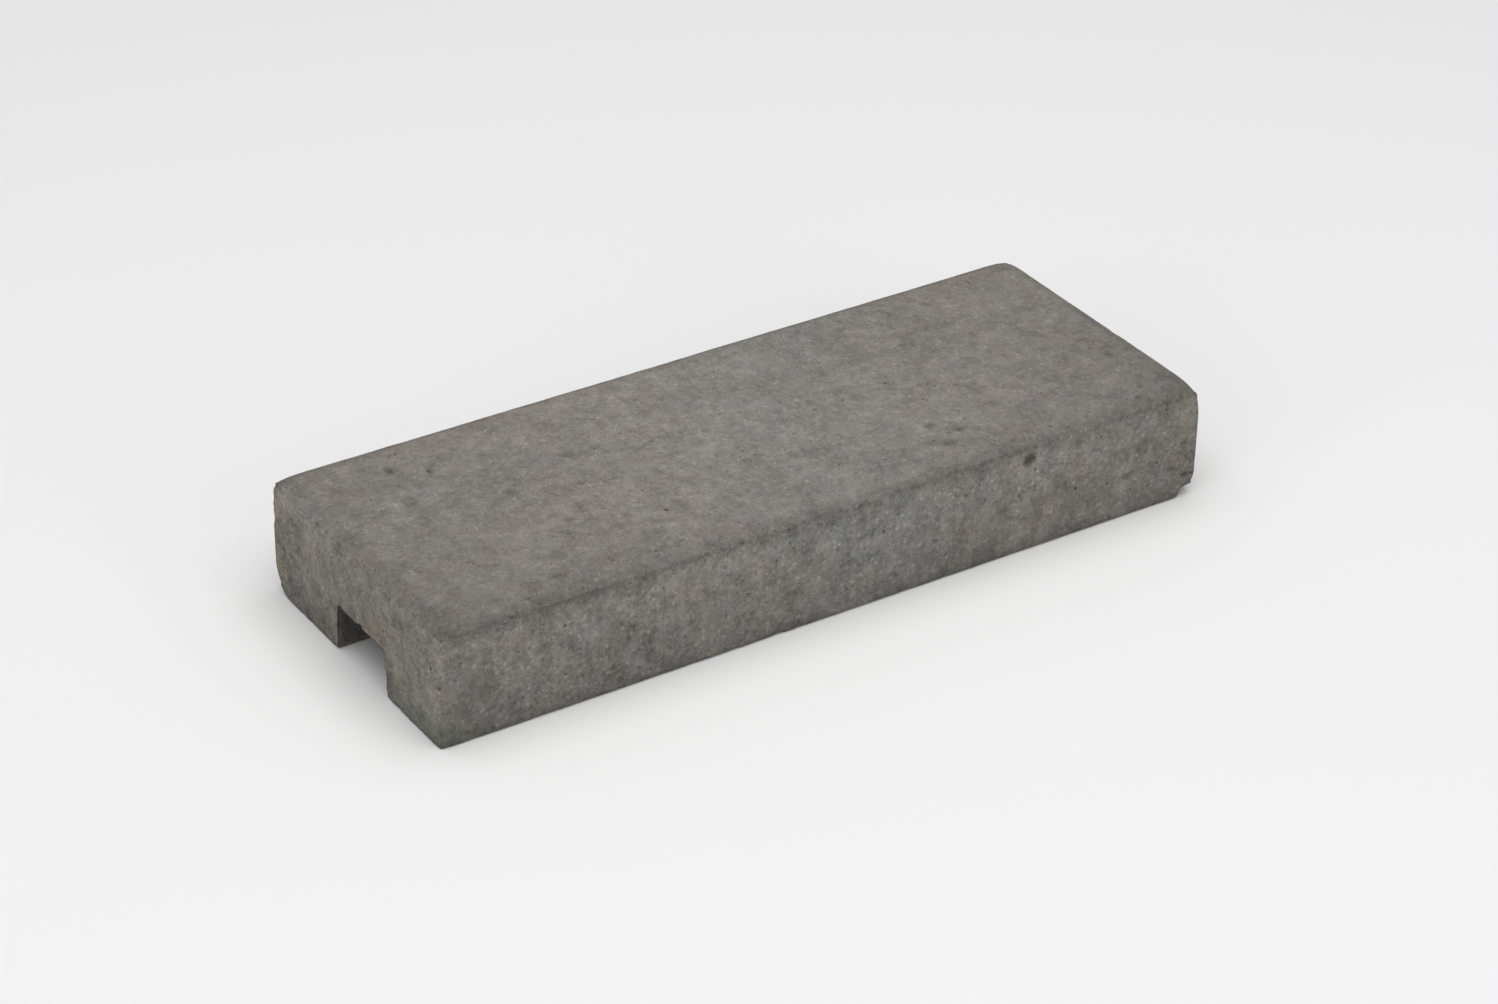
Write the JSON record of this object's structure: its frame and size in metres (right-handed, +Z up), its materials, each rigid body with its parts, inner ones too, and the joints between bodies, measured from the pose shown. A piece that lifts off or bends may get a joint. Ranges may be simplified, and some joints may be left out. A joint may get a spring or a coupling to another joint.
{
  "type": "concrete coping block",
  "caption": "Flat grey concrete coping block for the top of a narrow wall, with eased top edges and a mortar key groove along its underside.",
  "frame": {"origin": "centre of the block's box at the level of its underside, which is the plane that the two bearing strips rest on", "axes": "+X along the block's length and the wall's run, +Y from the front side to the back side, +Z up"},
  "size_m": [0.39, 0.147, 0.057],
  "materials": {
    "concrete": "dry-cast charcoal grey concrete, matt, fine open grain with small pores"
  },
  "bodies": {
    "root": {"coping_block": "concrete"}
  },
  "joints": []
}
